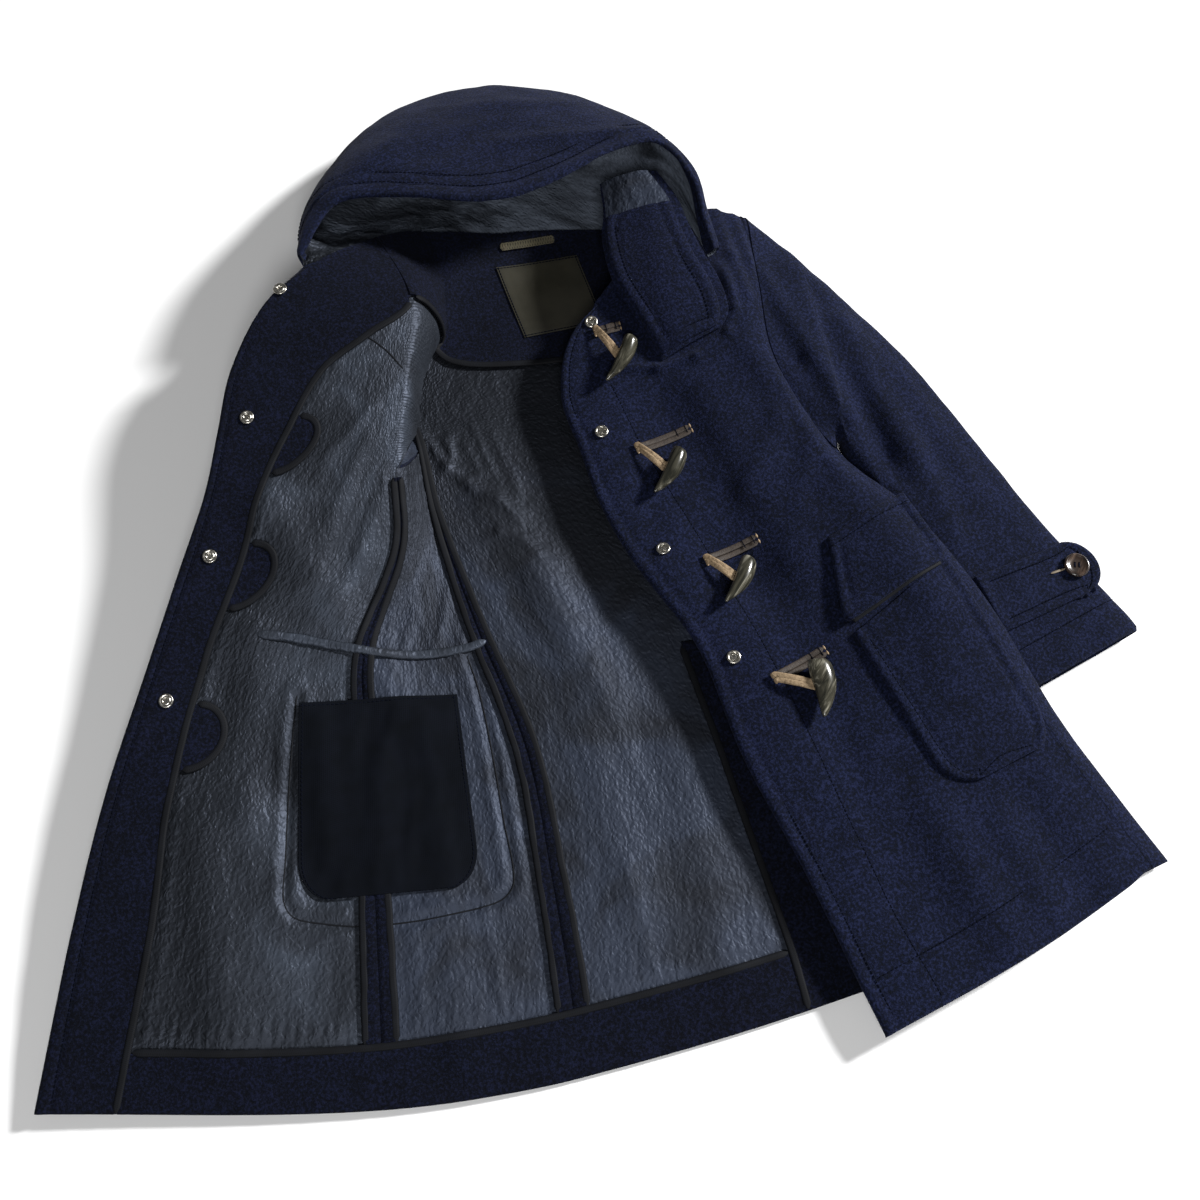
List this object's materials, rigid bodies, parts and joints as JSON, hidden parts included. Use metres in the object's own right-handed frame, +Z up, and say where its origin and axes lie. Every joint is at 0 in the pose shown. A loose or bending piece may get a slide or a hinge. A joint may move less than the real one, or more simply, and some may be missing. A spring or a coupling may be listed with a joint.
{
  "type": "duffle coat",
  "caption": "Hooded wool duffle coat laid flat on its back, one front opened out to show the lining, with horn toggles, snaps and a patch pocket.",
  "frame": {"origin": "middle of the laid coat's bounding box on the surface it lies on", "axes": "+Z up out of that surface, +Y from the hem toward the hood, +X toward the wearer's left sleeve"},
  "size_m": [0.9899, 0.9796, 0.1092],
  "materials": {
    "wool": "navy wool melton with a short fuzzy nap",
    "wool_inside": "navy wool melton, bound at the edges with dark grey tape",
    "lining": "charcoal crinkled bonded film with a soft gloss",
    "cotton": "dark navy cotton pocketing",
    "satin": "bare dark olive satin label",
    "braid": "grey-brown woven braid",
    "horn": "polished dark grey-olive horn with pale streaks",
    "tan_leather": "raw tan leather, matte",
    "dark_leather": "dark brown leather",
    "nickel": "nickel plated",
    "button": "polished brown horn with a darker rim"
  },
  "bodies": {
    "root": {"front_right": "wool", "side_right": "wool", "back": "wool", "side_left": "wool", "front_left": "wool", "sleeve_left": "wool", "sleeve_right": "wool", "cuff_tab_left": "wool", "pocket_left": "wool", "pocket_flap_left": "wool", "hood": "wool", "hood_corner": "wool", "hood_corner_facing": "wool_inside", "front_right_facing": "wool_inside", "hem_turn_up": "wool_inside", "seam_allowance_front": "wool_inside", "seam_allowance_back": "wool_inside", "vent_facing": "wool_inside", "neck_facing": "wool_inside", "half_moon_1": "wool_inside", "half_moon_2": "wool_inside", "half_moon_3": "wool_inside", "front_right_lining": "lining", "side_right_lining": "lining", "back_lining": "lining", "hood_lining": "lining", "pocket_backing": "cotton", "label": "satin", "hanger_loop": "braid", "toggle_1": "horn", "toggle_2": "horn", "toggle_3": "horn", "toggle_4": "horn", "toggle_cord_1": "tan_leather", "toggle_cord_2": "tan_leather", "toggle_cord_3": "tan_leather", "toggle_cord_4": "tan_leather", "toggle_strap_1": "dark_leather", "toggle_strap_2": "dark_leather", "toggle_strap_3": "dark_leather", "toggle_strap_4": "dark_leather", "snap_left_1": "nickel", "snap_left_2": "nickel", "snap_left_3": "nickel", "snap_left_4": "nickel", "snap_right_1": "nickel", "snap_right_2": "nickel", "snap_right_3": "nickel", "snap_right_4": "nickel", "cuff_button_left": "button"}
  },
  "joints": []
}
